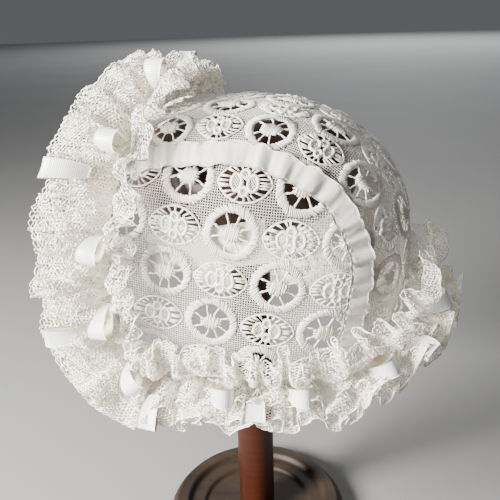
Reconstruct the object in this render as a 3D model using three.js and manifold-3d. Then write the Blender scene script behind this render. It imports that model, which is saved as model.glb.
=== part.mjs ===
// Baby bonnet of pierced lace with net ruches and ribbon loops, worn on a turned wooden stand.
// Millimetres, +Z up, face opening towards -X, near side -Y, origin under the middle of the base.
import * as THREE from 'three';
import { mergeVertices } from 'three/addons/utils/BufferGeometryUtils.js';
import Module from 'manifold-3d';

const wasm = await Module();
wasm.setup();

// Head form that the lace follows, as half sizes from its centre, and how square it is
const headBack = 59;
const headFront = 88;
const headSide = 48;
const headTop = 49;
const headBelow = 79;
const profilePower = 2.1;
const sectionPower = 2.7;
const headSetback = 1;
const headHeight = 145;

// Cloth walls and the clearance between neighbouring pieces
const laceWall = 1.2;
const tapeWall = 1;
const netWall = 1.5;
const ribbonWall = 1;
const clearance = 0.3;

// Cut of the lace: seam line, face edge and neck edge
const seamSide = 38.5;
const faceForward = 41;
const faceSetback = 12;
const templeHeight = -9;
const neckDrop = 43;
const napeRise = 23;
const napePower = 5;
const cornerRound = 15;
const tapeWidth = 8.5;

// Pierced motifs of the lace, as laid out on the flat cloth
const panelWeave = { along: [18.6, -1.8], across: [4, 15.6], start: [0.8, -1.6], ringParity: 1 };
const stripWeave = { along: [19, 0], across: [0, 15.4], start: [-3, 0.6], ringParity: 1 };
const ringOpening = 6;
const ringMiddle = 2.8;
const ovalLength = 5.6;
const ovalHeight = 3.4;
const motifMargin = 1.5;

// Ruches: net gathered on a stitch line near the edge, with an outer and an inner flounce
const stitchInset = 3;
const footWidth = 3;
const flounceReach = 23;
const innerReach = 11;
const foldPitch = 15.5;
const foldDepth = 3.6;
const foldsPower = 1.2;
const awayPower = 1.25;
const raisePower = 1.7;
const innerLie = 0.85;
const innerFolds = 0.3;

// Ribbon loops and the tie strip
const ribbonWidth = 6.8;
const loopLength = 13;
const loopSpread = 8;
const loopMouth = 16;
const ribbonPinch = 0.3;
const ribbonGap = 0.75;
const ribbonPast = 2;
const tieWidth = 14;
const tieLength = 40;
const tieForward = -24;
const tieHeight = 8;
const tieRise = 7;
const tieGap = 0.9;

// Turned stand
const baseRadius = 41;
const baseHeight = 9;
const dishDepth = 2.5;
const footRound = 2;
const rimStep = 3;
const rimWidth = 5;
const recessRadius = 24;
const recessDepth = 1.5;
const postRadius = 8;
const domeSideGap = 6;
const domeWaist = 22;
const domeUnder = 3;
const domeShoulder = 2;
const domePower = 2.2;
const domeGap = 1.2;

const headCentre = new THREE.Vector3(headSetback, 0, headHeight);
const group = new THREE.Group();
const bonnet = new THREE.Group();
bonnet.position.copy(headCentre);
group.add(bonnet);

const materials = {
  lace: { color: '#e9e6df', roughness: 0.85, metalness: 0 },
  tape: { color: '#f1eee6', roughness: 0.8, metalness: 0 },
  net: { color: '#ece8db', roughness: 0.8, metalness: 0 },
  ribbon: { color: '#f7f6f2', roughness: 0.35, metalness: 0 },
  tie: { color: '#efe8d6', roughness: 0.6, metalness: 0 },
  darkWood: { color: '#2b1a16', roughness: 0.45, metalness: 0 },
  redWood: { color: '#6b3015', roughness: 0.45, metalness: 0 },
  paleWood: { color: '#6f5a45', roughness: 0.55, metalness: 0 },
};

function addPiece(name, geometry, finish, parent = bonnet) {
  geometry.computeVertexNormals();
  const mesh = new THREE.Mesh(geometry, new THREE.MeshStandardMaterial(materials[finish]));
  mesh.name = name;
  parent.add(mesh);
}

// Head surface

function profileGauge(x, z) {
  const alongX = Math.abs(x) / (x < 0 ? headFront : headBack);
  const alongZ = Math.abs(z) / (z < 0 ? headBelow : headTop);
  return (alongX ** profilePower + alongZ ** profilePower) ** (1 / profilePower);
}

function gauge(point) {
  const across = Math.abs(point.y) / headSide;
  const profile = profileGauge(point.x, point.z);
  return (profile ** sectionPower + across ** sectionPower) ** (1 / sectionPower);
}

function headNormal(point) {
  const step = 0.01;
  const slope = (axis) => {
    const ahead = point.clone();
    const behind = point.clone();
    ahead[axis] += step;
    behind[axis] -= step;
    return gauge(ahead) - gauge(behind);
  };
  return new THREE.Vector3(slope('x'), slope('y'), slope('z')).normalize();
}

// Point on the lace's inner face in a direction from the head centre, lifted along the normal
function headPoint(direction, lift = 0) {
  const point = direction.clone().divideScalar(gauge(direction));
  return point.addScaledVector(headNormal(point), lift);
}

function sidePoint(x, z, side) {
  const rest = Math.max(1 - profileGauge(x, z) ** sectionPower, 0);
  return new THREE.Vector3(x, side * headSide * rest ** (1 / sectionPower), z);
}

// Place at a distance over the cloth from the middle of a side panel, at an angle in the side view
function clothPoint(angle, distance, side) {
  const step = THREE.MathUtils.degToRad(1.5);
  const aim = (turn) => new THREE.Vector3(
    Math.sin(turn) * Math.cos(angle), side * Math.cos(turn), Math.sin(turn) * Math.sin(angle));
  let turn = 0;
  let gone = 0;
  let here = headPoint(aim(0));
  while (gone < distance) {
    const next = headPoint(aim(turn + step));
    const stride = next.distanceTo(here);
    if (gone + stride > distance) {
      return here.lerp(next, (distance - gone) / stride);
    }
    gone += stride;
    turn += step;
    here = next;
  }
  return here;
}

// Edge lines of the lace in the side view

const faceX = (z) => -faceForward + faceSetback * ((z - templeHeight) / (headTop - templeHeight)) ** 2;
const neckZ = (x) => -neckDrop + napeRise * (Math.max(x, 0) / headBack) ** napePower;

function solve(low, high, test) {
  for (let i = 0; i < 50; i += 1) {
    const middle = (low + high) / 2;
    if (test(middle)) {
      low = middle;
    } else {
      high = middle;
    }
  }
  return (low + high) / 2;
}

// Outline from the crown, down the face edge, round the lower corner and along the neck to the nape;
// past carries its ends beyond the head, and with none they end on the head's middle line
const edgeSteps = 12;
function edgeLine(inset, past) {
  const face = (z) => new THREE.Vector2(faceX(z) + inset, z);
  const neck = (x) => new THREE.Vector2(x, neckZ(x) + inset);
  const low = neckZ(-faceForward) + inset;
  const corner = face(low);
  const top = past > 0 ? headTop + past : solve(0, headTop, (z) => profileGauge(face(z).x, z) < 1);
  const back = past > 0 ? headBack + past : solve(0, headBack, (x) => profileGauge(x, neck(x).y) < 1);
  const line = new THREE.CurvePath();
  const run = (from, to, place) => Array.from({ length: edgeSteps + 1 }, (_, i) => (
    place(from + ((to - from) * i) / edgeSteps)));
  const faceRun = run(top, low + cornerRound, face);
  const neckRun = run(corner.x + cornerRound, back, neck);
  line.add(new THREE.SplineCurve(faceRun));
  line.add(new THREE.QuadraticBezierCurve(faceRun.at(-1), corner, neckRun[0]));
  line.add(new THREE.SplineCurve(neckRun));
  return line;
}

// Closed stitch line round the whole opening, by distance from the middle of the crown;
// its points crowd towards the crown and the nape, where the side view is steepest
const stitchSteps = 60;
function stitchCurve() {
  const line = edgeLine(stitchInset, 0);
  const near = Array.from({ length: stitchSteps + 1 }, (_, i) => {
    const t = i / stitchSteps;
    const place = line.getPointAt(t ** 3 / (t ** 3 + (1 - t) ** 3));
    return sidePoint(place.x, place.y, -1);
  });
  const far = near.slice(1, -1).reverse().map((point) => new THREE.Vector3(point.x, -point.y, point.z));
  const curve = new THREE.CatmullRomCurve3([...near, ...far], true);
  curve.arcLengthDivisions = 20 * stitchSteps;
  return curve;
}

const stitchLine = stitchCurve();
const loopGirth = stitchLine.getLength();

// Station where the face ruche and the neck ruche meet, at the lower front corner
function cornerStation() {
  return solve(0, loopGirth / 2, (station) => {
    const ahead = stitchLine.getTangentAt(station / loopGirth);
    return -ahead.z > ahead.x;
  });
}
const corner = cornerStation();

function stitchFrame(station) {
  const share = THREE.MathUtils.euclideanModulo(station / loopGirth, 1);
  const foot = stitchLine.getPointAt(share);
  const along = stitchLine.getTangentAt(share);
  const normal = headNormal(foot);
  const outward = new THREE.Vector3().crossVectors(along, normal).normalize();
  const fromCrown = Math.min(share, 1 - share) * loopGirth;
  const round = THREE.MathUtils.smoothstep(fromCrown, corner - cornerRound, corner + cornerRound);
  const turn = (round * Math.PI) / 2;
  const away = new THREE.Vector3(-Math.cos(turn), 0, -Math.sin(turn));
  const raised = normal.clone().addScaledVector(away, -normal.dot(away)).normalize();
  return { foot, along, normal, outward, away, raised, fromCrown };
}

// How the ruche stands along the half girth: reach and inner as shares of flounceReach and innerReach,
// stand as a share of the inner reach, flare in degrees
const stance = [
  { place: 0.0, reach: 0.86, flare: 48, inner: 1.0, stand: 0.75 },
  { place: 0.1, reach: 0.86, flare: 42, inner: 1.0, stand: 0.65 },
  { place: 0.2, reach: 0.9, flare: 30, inner: 1.0, stand: 0.55 },
  { place: 0.36, reach: 0.95, flare: 26, inner: 1.0, stand: 0.42 },
  { place: 0.5, reach: 0.86, flare: 45, inner: 1.0, stand: 0.45 },
  { place: 0.62, reach: 0.66, flare: 66, inner: 1.0, stand: 0.4 },
  { place: 0.82, reach: 0.72, flare: 82, inner: 1.2, stand: 0.35 },
  { place: 1.0, reach: 0.9, flare: 88, inner: 1.5, stand: 0.35 },
];

function stanceAt(fromCrown) {
  const place = fromCrown / (loopGirth / 2);
  const next = Math.max(stance.findIndex((row) => row.place >= place), 1);
  const t = THREE.MathUtils.smoothstep(place, stance[next - 1].place, stance[next].place);
  const between = (column) => THREE.MathUtils.lerp(stance[next - 1][column], stance[next][column], t);
  return {
    reach: flounceReach * between('reach'),
    flare: THREE.MathUtils.degToRad(between('flare')),
    inner: innerReach * between('inner'),
    stand: between('stand'),
  };
}

// Direction square to the outer flounce, in which its folds wave
function waveDirection(frame, flare) {
  return frame.raised.clone().multiplyScalar(Math.cos(flare)).addScaledVector(frame.away, -Math.sin(flare));
}

// Gathers: a main fold and a slower one that makes neighbours differ
const slowShare = 0.28;
const slowPitch = 2.6;
const slowStart = 1;
function foldWave(station) {
  const turns = (2 * Math.PI * station) / foldPitch;
  return (1 - slowShare) * Math.sin(turns) + slowShare * Math.sin(turns / slowPitch + slowStart);
}

const footLift = laceWall + clearance + netWall / 2;

// Middle surface of a ruche: across runs from -1 at the inner rim, over 0 at the stitches, to 1 outside
function ruchePoint(station, across) {
  const frame = stitchFrame(station);
  const { reach, flare, inner, stand } = stanceAt(frame.fromCrown);
  const point = frame.foot.clone().addScaledVector(frame.normal, footLift);
  const out = Math.abs(across);
  const wave = foldWave(station) * foldDepth;
  if (across < 0) {
    point.addScaledVector(frame.outward, -(footWidth / 2 + innerLie * inner * out));
    point.addScaledVector(frame.normal, stand * inner * (1 - (1 - out) ** 2));
    return point.addScaledVector(frame.normal, innerFolds * wave * out);
  }
  const offFoot = Math.min((out * reach) / footWidth, 1);
  point.addScaledVector(frame.outward, (footWidth / 2) * offFoot);
  point.addScaledVector(frame.away, reach * Math.cos(flare) * out ** awayPower);
  point.addScaledVector(frame.raised, reach * Math.sin(flare) * (1 - (1 - out) ** raisePower));
  return point.addScaledVector(waveDirection(frame, flare), wave * out ** foldsPower);
}

// Closed wall of even thickness about a middle surface given by a grid of points
function wallFromGrid(grid, thickness) {
  const rows = grid.length;
  const columns = grid[0].length;
  const normalAt = (r, c) => {
    const alongRow = grid[r][Math.min(c + 1, columns - 1)].clone().sub(grid[r][Math.max(c - 1, 0)]);
    const alongColumn = grid[Math.min(r + 1, rows - 1)][c].clone().sub(grid[Math.max(r - 1, 0)][c]);
    return alongRow.cross(alongColumn).normalize();
  };
  const positions = [];
  for (const half of [thickness / 2, -thickness / 2]) {
    grid.forEach((row, r) => row.forEach((point, c) => {
      positions.push(...point.clone().addScaledVector(normalAt(r, c), half).toArray());
    }));
  }
  const top = (r, c) => r * columns + c;
  const under = (r, c) => rows * columns + r * columns + c;
  const index = [];
  const quad = (a, b, c, d) => index.push(a, b, c, a, c, d);
  for (let r = 0; r < rows - 1; r += 1) {
    for (let c = 0; c < columns - 1; c += 1) {
      quad(top(r, c), top(r, c + 1), top(r + 1, c + 1), top(r + 1, c));
      quad(under(r, c), under(r + 1, c), under(r + 1, c + 1), under(r, c + 1));
    }
    quad(top(r, 0), top(r + 1, 0), under(r + 1, 0), under(r, 0));
    quad(top(r, columns - 1), under(r, columns - 1), under(r + 1, columns - 1), top(r + 1, columns - 1));
  }
  for (let c = 0; c < columns - 1; c += 1) {
    quad(top(0, c), under(0, c), under(0, c + 1), top(0, c + 1));
    quad(top(rows - 1, c), top(rows - 1, c + 1), under(rows - 1, c + 1), under(rows - 1, c));
  }
  const geometry = new THREE.BufferGeometry();
  geometry.setAttribute('position', new THREE.Float32BufferAttribute(positions, 3));
  geometry.setIndex(index);
  return geometry;
}

// Booleans between closed geometries

function toSolid(geometry) {
  const bare = geometry.clone();
  bare.deleteAttribute('normal');
  bare.deleteAttribute('uv');
  const merged = mergeVertices(bare, 1e-4);
  return new wasm.Manifold(new wasm.Mesh({
    numProp: 3,
    vertProperties: new Float32Array(merged.attributes.position.array),
    triVerts: new Uint32Array(merged.index.array),
  }));
}

function toGeometry(solid) {
  const mesh = solid.getMesh();
  const geometry = new THREE.BufferGeometry();
  geometry.setAttribute('position', new THREE.BufferAttribute(mesh.vertProperties, 3));
  geometry.setIndex(new THREE.BufferAttribute(mesh.triVerts, 1));
  return geometry;
}

// Egg-shaped solid up to a lift over the lace's inner face
const headAround = 18;
const headAcross = 10;
function headSolid(lift) {
  const geometry = new THREE.SphereGeometry(1, headAround, headAcross);
  const place = geometry.attributes.position;
  for (let i = 0; i < place.count; i += 1) {
    const point = headPoint(new THREE.Vector3().fromBufferAttribute(place, i), lift);
    place.setXYZ(i, point.x, point.y, point.z);
  }
  return toSolid(geometry);
}

// Everything behind the face edge and above the neck edge, as a prism across the head
const outlineSteps = 22;
function outlineSolid(inset) {
  const past = 4 * laceWall;
  const line = edgeLine(inset, past).getSpacedPoints(outlineSteps);
  const outline = new THREE.Shape([...line, new THREE.Vector2(headBack + past, headTop + past)]);
  const prism = new THREE.ExtrudeGeometry(outline, { depth: 4 * headSide, bevelEnabled: false });
  prism.rotateX(Math.PI / 2);
  prism.translate(0, 2 * headSide, 0);
  return toSolid(prism);
}

// Slab of the head between two distances from the middle plane, negative on the near side
function slabSolid(from, to) {
  const size = 4 * headFront;
  const slab = new THREE.BoxGeometry(size, to - from, size);
  slab.translate(0, (from + to) / 2, 0);
  return toSolid(slab);
}

// Prism through the cloth under an outline of places on its inner face
function gapCutter(outline) {
  const spread = outline[1].clone().sub(outline[0]).cross(outline[2].clone().sub(outline[0]));
  const places = spread.dot(headNormal(outline[0])) > 0 ? outline : outline.toReversed();
  const positions = [];
  for (const lift of [-laceWall, 2 * laceWall]) {
    places.forEach((place) => {
      positions.push(...place.clone().addScaledVector(headNormal(place), lift).toArray());
    });
  }
  const count = places.length;
  const index = [];
  for (let i = 0; i < count; i += 1) {
    const j = (i + 1) % count;
    index.push(i, j, count + j, i, count + j, count + i);
    if (i > 0 && i < count - 1) {
      index.push(0, i + 1, i, count, count + i, count + i + 1);
    }
  }
  const geometry = new THREE.BufferGeometry();
  geometry.setAttribute('position', new THREE.Float32BufferAttribute(positions, 3));
  geometry.setIndex(index);
  return toSolid(geometry);
}

// Outlines of the gaps of one motif on the flat cloth, about its middle
const polar = (radius, degrees) => {
  const angle = THREE.MathUtils.degToRad(degrees);
  return new THREE.Vector2(radius * Math.cos(angle), radius * Math.sin(angle));
};
const ringSpan = 55;
const ringGap = (middle) => [
  ...[-ringSpan, 0, ringSpan].map((turn) => polar(ringOpening, middle + turn)),
  ...[ringSpan, -ringSpan].map((turn) => polar(ringMiddle, middle + turn)),
];
const ovalGap = [0, 55, 125, 180, 235, 305].map((turn) => {
  const spot = polar(1, turn);
  return new THREE.Vector2(spot.x * ovalLength, spot.y * ovalHeight);
});
const motifGaps = (isRing) => (isRing ? [ringGap(90), ringGap(270)] : [ovalGap]);

// Cutters for all gaps of a cloth piece, on the weave's grid of motifs
const farthest = 8;
function clothGaps(weave, toSurface, isInside) {
  const cutters = [];
  for (let row = -farthest; row <= farthest; row += 1) {
    for (let column = -farthest; column <= farthest; column += 1) {
      const home = new THREE.Vector2(...weave.start)
        .addScaledVector(new THREE.Vector2(...weave.along), column)
        .addScaledVector(new THREE.Vector2(...weave.across), row);
      const isRing = Math.abs(row + column) % 2 === weave.ringParity;
      for (const gap of motifGaps(isRing)) {
        const places = gap.map((spot) => toSurface(spot.clone().add(home)));
        if (places.every(isInside)) {
          cutters.push(gapCutter(places));
        }
      }
    }
  }
  return cutters;
}

function cutGaps(cloth, cutters) {
  return toGeometry(cutters.reduce((rest, cutter) => rest.subtract(cutter), cloth));
}

// Margin test in the side view against the face and neck edges
function clearOfEdges(point) {
  const margin = motifMargin + stitchInset + footWidth / 2;
  return point.x > faceX(point.z) + margin && point.z > neckZ(point.x) + margin;
}

const laceShell = headSolid(laceWall).subtract(headSolid(0)).intersect(outlineSolid(0));

// Side panels: arched pieces outside the seam line
function sidePanel(side) {
  const toSurface = (spot) => clothPoint(spot.angle(), spot.length(), side);
  const isInside = (point) => side * point.y > seamSide + motifMargin && clearOfEdges(point);
  const from = seamSide + clearance / 2;
  const beyond = 2 * headSide;
  const slab = side < 0 ? slabSolid(-beyond, -from) : slabSolid(from, beyond);
  return cutGaps(laceShell.intersect(slab), clothGaps(panelWeave, toSurface, isInside));
}
addPiece('side_panel_near', sidePanel(-1), 'lace');
addPiece('side_panel_far', sidePanel(1), 'lace');

// Crown strip: its cloth runs along the middle line of the head, measured from the top towards the nape
function crownAngle(along) {
  const step = THREE.MathUtils.degToRad(1) * Math.sign(along);
  const aim = (angle) => headPoint(new THREE.Vector3(Math.cos(angle), 0, Math.sin(angle)));
  let angle = Math.PI / 2;
  let gone = 0;
  while (gone < Math.abs(along)) {
    gone += aim(angle).distanceTo(aim(angle - step));
    angle -= step;
  }
  return angle;
}

function meridianLength(angle) {
  let length = 0;
  const step = Math.PI / 120;
  const aim = (turn) => headPoint(new THREE.Vector3(
    Math.sin(turn) * Math.cos(angle), -Math.cos(turn), Math.sin(turn) * Math.sin(angle)));
  for (let turn = step; turn < Math.PI / 2 + step / 2; turn += step) {
    length += aim(turn).distanceTo(aim(turn - step));
  }
  return length;
}

function crownStrip() {
  const toSurface = (spot) => {
    const angle = crownAngle(spot.x);
    return clothPoint(angle, meridianLength(angle) + spot.y, -1);
  };
  const isInside = (point) => Math.abs(point.y) < seamSide - motifMargin && clearOfEdges(point);
  const half = seamSide - clearance / 2;
  return cutGaps(laceShell.intersect(slabSolid(-half, half)), clothGaps(stripWeave, toSurface, isInside));
}
addPiece('crown_strip', crownStrip(), 'lace');

// Seam tapes: bands over the seams, ending short of the ruches' feet
function seamTape(side) {
  const seamTop = headTop * (1 - (seamSide / headSide) ** sectionPower) ** (1 / sectionPower);
  const tilt = Math.abs(headNormal(new THREE.Vector3(0, seamSide, seamTop)).z);
  const half = (tapeWidth / 2) * tilt;
  const under = laceWall + clearance;
  const end = stitchInset + footWidth / 2 + netWall;
  const shell = headSolid(under + tapeWall).subtract(headSolid(under)).intersect(outlineSolid(end));
  return toGeometry(shell.intersect(slabSolid(side * seamSide - half, side * seamSide + half)));
}
addPiece('seam_tape_near', seamTape(-1), 'tape');
addPiece('seam_tape_far', seamTape(1), 'tape');

// Ruches: one wavy wall each, as a grid of stations along the edge and places across the profile
const nearFoot = 0.4;
const profilePlaces = [-1, -nearFoot, 0, nearFoot, 1];
const columnsPerFold = 4;
const meeting = 3.5 * clearance;
function ruche(from, to) {
  const columns = Math.round(((to - from) / foldPitch) * columnsPerFold);
  const grid = profilePlaces.map((across) => Array.from({ length: columns + 1 }, (_, i) => (
    ruchePoint(from + ((to - from) * i) / columns, across))));
  return wallFromGrid(grid, netWall);
}
addPiece('face_ruche', ruche(-corner + meeting, corner - meeting), 'net');
addPiece('neck_ruche', ruche(corner + meeting, loopGirth - corner - meeting), 'net');

// Ribbon bent along a path, which may widen along its way
function ribbonBar(places, widthways, widths) {
  const grid = places.map((place, i) => [-0.5, 0.5].map((side) => (
    place.clone().addScaledVector(widthways, side * widths[i]))));
  return wallFromGrid(grid, ribbonWall);
}

// Ribbon loops stand in the valley between the two flounces of a ruche, the same on both sides;
// share is the place round the whole edge from the crown, and lean turns a loop from lying along
// the edge at 0 to straight out at 90 degrees
const shortLoops = [
  { share: 0.03, lean: 80 },
  { share: 0.08, lean: 60 },
  { share: 0.14, lean: 70 },
  { share: 0.19, lean: 50 },
  { share: 0.24, lean: 60 },
  { share: 0.31, lean: 60 },
  { share: 0.36, lean: 65 },
  { share: 0.41, lean: 60 },
  { share: 0.465, lean: 70 },
];
// Stations run from the far corner over the crown and the near corner back to the far corner
function stationAt(share) {
  const station = share * loopGirth;
  return station > loopGirth - corner ? station - loopGirth : station;
}

const loopSteps = 6;
function shortLoop(share, leanDegrees) {
  const station = stationAt(share);
  const frame = stitchFrame(station);
  const root = ruchePoint(station, 0);
  const toward = (across) => ruchePoint(station, across).sub(root).normalize();
  const outerWall = toward(nearFoot);
  const innerWall = toward(-nearFoot);
  const between = outerWall.clone().add(innerWall).normalize();
  const valley = outerWall.angleTo(innerWall) / 2;
  const rootHalf = (ribbonWidth * ribbonPinch) / 2;
  const seat = (netWall / 2 + ribbonGap + rootHalf * Math.cos(valley)) / Math.sin(valley);
  const widthways = new THREE.Vector3().crossVectors(frame.along, between).normalize();
  const lean = THREE.MathUtils.degToRad(leanDegrees);
  const up = between.clone().multiplyScalar(Math.sin(lean)).addScaledVector(frame.along, Math.cos(lean));
  const spread = new THREE.Vector3().crossVectors(widthways, up).normalize();
  const start = root.addScaledVector(between, seat);
  const turns = Array.from({ length: loopSteps + 1 }, (_, i) => (
    THREE.MathUtils.degToRad(loopMouth + ((360 - 2 * loopMouth) * i) / loopSteps)));
  const apart = (ribbonWall + clearance) / 2;
  const places = turns.map((turn) => start.clone()
    .addScaledVector(up, (loopLength * (1 - Math.cos(turn))) / 2)
    .addScaledVector(spread, -(loopSpread / 2) * Math.sin(turn) * Math.sin(turn / 2))
    .addScaledVector(spread, -apart * Math.cos(turn / 2)));
  const widths = turns.map((turn) => (
    ribbonWidth * (ribbonPinch + (1 - ribbonPinch) * Math.sin(turn / 2) ** 3)));
  return ribbonBar(places, widthways, widths);
}
shortLoops.forEach(({ share, lean }, i) => {
  addPiece(`ribbon_loop_near_${i + 1}`, shortLoop(share, lean), 'ribbon');
  addPiece(`ribbon_loop_far_${i + 1}`, shortLoop(1 - share, lean), 'ribbon');
});

// Long loops lie along a crest of the outer flounce's folds and reach past its rim
const longLoops = [0.11, 0.215, 0.28, 0.335, 0.435];
function crestNear(station) {
  const tries = Array.from({ length: 2 * columnsPerFold + 1 }, (_, i) => (
    station + foldPitch * (i / columnsPerFold - 1) * 0.6));
  return tries.reduce((best, next) => (foldWave(next) > foldWave(best) ? next : best));
}

function longLoop(share) {
  const station = crestNear(stationAt(share));
  const frame = stitchFrame(station);
  const { flare } = stanceAt(frame.fromCrown);
  const over = waveDirection(frame, flare);
  const lift = (netWall + ribbonWall) / 2 + ribbonGap;
  const places = [nearFoot, 1].map((across) => ruchePoint(station, across).addScaledVector(over, lift));
  const past = places[1].clone().sub(places[0]).setLength(ribbonPast);
  places.push(places[1].clone().add(past));
  return ribbonBar(places, frame.along, places.map(() => ribbonWidth));
}
longLoops.forEach((share, i) => {
  addPiece(`ribbon_end_near_${i + 1}`, longLoop(share), 'ribbon');
  addPiece(`ribbon_end_far_${i + 1}`, longLoop(1 - share), 'ribbon');
});

// Tie strip tucked up inside the near panel, against the lace
const tieSteps = 8;
function tieStrip() {
  const grid = Array.from({ length: tieSteps + 1 }, (_, i) => [-0.5, 0, 0.5].map((part) => {
    const along = i / tieSteps;
    const x = tieForward + tieLength * along;
    const z = tieHeight + tieRise * (along - 0.5) + tieWidth * part;
    const point = sidePoint(x, z, -1);
    return point.addScaledVector(headNormal(point), -tieGap - ribbonWall / 2);
  }));
  return wallFromGrid(grid, ribbonWall);
}
addPiece('tie_strip', tieStrip(), 'tie');

// Turned stand: profiles of radius and height, turned round the post's axis
const lathe = 24;
function turned(profile) {
  const points = profile.map(([radius, height]) => new THREE.Vector2(radius, height));
  const geometry = new THREE.LatheGeometry(points, lathe);
  geometry.rotateX(Math.PI / 2);
  return geometry;
}

// Base: a round foot with a raised rim and a shallow dish, sunk again in the middle where the post stands
const recessHeight = baseHeight - dishDepth - recessDepth;
function standBase() {
  const dish = baseHeight - dishDepth;
  const rim = baseRadius - rimStep;
  return turned([
    [0, 0],
    [baseRadius - footRound, 0],
    [baseRadius, footRound],
    [baseRadius, baseHeight - 2 * footRound],
    [rim, baseHeight],
    [rim - rimWidth, baseHeight],
    [rim - rimWidth - footRound, dish],
    [recessRadius + recessDepth, dish],
    [recessRadius, recessHeight],
    [0, recessHeight],
  ]);
}
addPiece('stand_base', standBase(), 'paleWood', group);

const domeRadius = headSide - domeSideGap;
const domeBottom = headHeight + domeUnder;
function standPost() {
  const foot = recessHeight + clearance;
  const top = domeBottom - clearance;
  return turned([
    [0, foot],
    [postRadius, foot],
    [postRadius, top],
    [0, top],
  ]);
}
addPiece('stand_post', standPost(), 'redWood', group);

// Dome under the crown, rounded below and pulled in towards the post
function standDome() {
  const top = headHeight + headTop - domeGap;
  const widest = headHeight + domeWaist;
  const neck = postRadius + domeShoulder;
  const turns = (count, from, to) => Array.from({ length: count + 1 }, (_, i) => (
    THREE.MathUtils.degToRad(from + ((to - from) * i) / count)));
  const under = turns(4, 0, 80).map((turn) => [
    neck + (domeRadius - neck) * Math.sin(turn),
    widest - (widest - domeBottom) * Math.cos(turn),
  ]);
  const over = turns(5, 0, 90).map((turn) => [
    domeRadius * Math.max(Math.cos(turn), 0) ** (2 / domePower),
    widest + (top - widest) * Math.sin(turn) ** (2 / domePower),
  ]);
  return turned([[0, domeBottom], ...under, ...over.slice(0, -1), [0, top]]);
}
addPiece('stand_dome', standDome(), 'darkWood', group);

export default group;
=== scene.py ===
"""Looks of a lace bonnet on a turned wooden stand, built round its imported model.

Lengths are written in millimetres and become metres when a mesh is made. The cap's own
points are counted from the middle of the head, X towards the nape, -Y towards the near side.
"""
import math

import bmesh
import bpy
import numpy as np
from mathutils import Matrix, Vector


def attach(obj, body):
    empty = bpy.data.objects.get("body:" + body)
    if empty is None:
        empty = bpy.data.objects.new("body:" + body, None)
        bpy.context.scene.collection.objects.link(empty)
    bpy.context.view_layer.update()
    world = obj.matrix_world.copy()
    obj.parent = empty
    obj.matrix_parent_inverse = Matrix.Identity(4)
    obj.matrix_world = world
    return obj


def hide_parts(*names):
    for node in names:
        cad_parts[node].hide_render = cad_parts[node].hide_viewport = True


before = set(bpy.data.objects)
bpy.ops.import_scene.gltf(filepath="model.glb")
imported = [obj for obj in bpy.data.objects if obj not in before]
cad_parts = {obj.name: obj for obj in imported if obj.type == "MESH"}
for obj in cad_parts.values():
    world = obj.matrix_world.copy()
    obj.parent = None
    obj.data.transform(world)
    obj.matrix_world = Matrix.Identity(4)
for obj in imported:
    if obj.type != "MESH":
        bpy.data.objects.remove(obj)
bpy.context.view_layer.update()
MM = 0.001

# Head form, seams and edges of the lace, as in the model
HEAD_BACK, HEAD_FRONT, HEAD_SIDE, HEAD_TOP, HEAD_BELOW = 59, 88, 48, 49, 79
PROFILE_POWER, SECTION_POWER = 2.1, 2.7
HEAD = np.array([1.0, 0.0, 145.0])
SEAM_SIDE, TAPE_WIDTH = 38.5, 8.5
FACE_FORWARD, FACE_SETBACK, TEMPLE = 41, 12, -9
NECK_DROP, NAPE_RISE, NAPE_POWER, CORNER_ROUND = 43, 23, 5, 15
STITCH_INSET, FOOT_WIDTH = 3, 3
FLOUNCE_REACH, INNER_REACH = 23, 11
FOLD_PITCH, FOLD_DEPTH = 15.5, 3.6
FOOT_LIFT = 2.25
RIBBON_WIDTH = 6.8

# Camera, at the photograph's viewing angle
CAMERA_PLACE = (52.7, -217.7, 221.0)
CAMERA_AZIMUTH, CAMERA_ELEVATION, CAMERA_ROLL = 13.6, 21.0, -1.7
CAMERA_FOCUS = 600 / 500
SENSOR = 36.0


def make_camera():
    azimuth, elevation, roll = map(math.radians, (CAMERA_AZIMUTH, CAMERA_ELEVATION, CAMERA_ROLL))
    back = Vector((math.sin(azimuth) * math.cos(elevation),
                   -math.cos(azimuth) * math.cos(elevation), math.sin(elevation)))
    right = Vector((math.cos(azimuth), math.sin(azimuth), 0))
    up = back.cross(right)
    tilted_right = right * math.cos(roll) + up * math.sin(roll)
    tilted_up = up * math.cos(roll) - right * math.sin(roll)
    data = bpy.data.cameras.new("camera")
    data.sensor_width = SENSOR
    data.lens = CAMERA_FOCUS * SENSOR
    data.clip_start, data.clip_end = 0.01, 10
    camera = bpy.data.objects.new("camera", data)
    turn = Matrix((tilted_right, tilted_up, back)).transposed().to_4x4()
    camera.matrix_world = Matrix.Translation(Vector(CAMERA_PLACE) * MM) @ turn
    bpy.context.scene.collection.objects.link(camera)
    bpy.context.scene.camera = camera


make_camera()


# Head surface

MERIDIAN_POINTS = 181


def profile_gauge(x, z):
    along_x = np.abs(x) / np.where(x < 0, HEAD_FRONT, HEAD_BACK)
    along_z = np.abs(z) / np.where(z < 0, HEAD_BELOW, HEAD_TOP)
    return (along_x ** PROFILE_POWER + along_z ** PROFILE_POWER) ** (1 / PROFILE_POWER)


def gauge(points):
    across = np.abs(points[..., 1]) / HEAD_SIDE
    profile = profile_gauge(points[..., 0], points[..., 2])
    return (profile ** SECTION_POWER + across ** SECTION_POWER) ** (1 / SECTION_POWER)


def unit(vectors):
    return vectors / np.maximum(np.linalg.norm(vectors, axis=-1, keepdims=True), 1e-12)


def distances(points):
    """Length along a line at each of its points."""
    return np.concatenate([[0], np.cumsum(np.linalg.norm(np.diff(points, axis=0), axis=-1))])


def on_line(places, run, points):
    """Points of a line at given lengths along it."""
    return np.stack([np.interp(places, run, points[:, k]) for k in range(3)], axis=-1)


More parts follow.
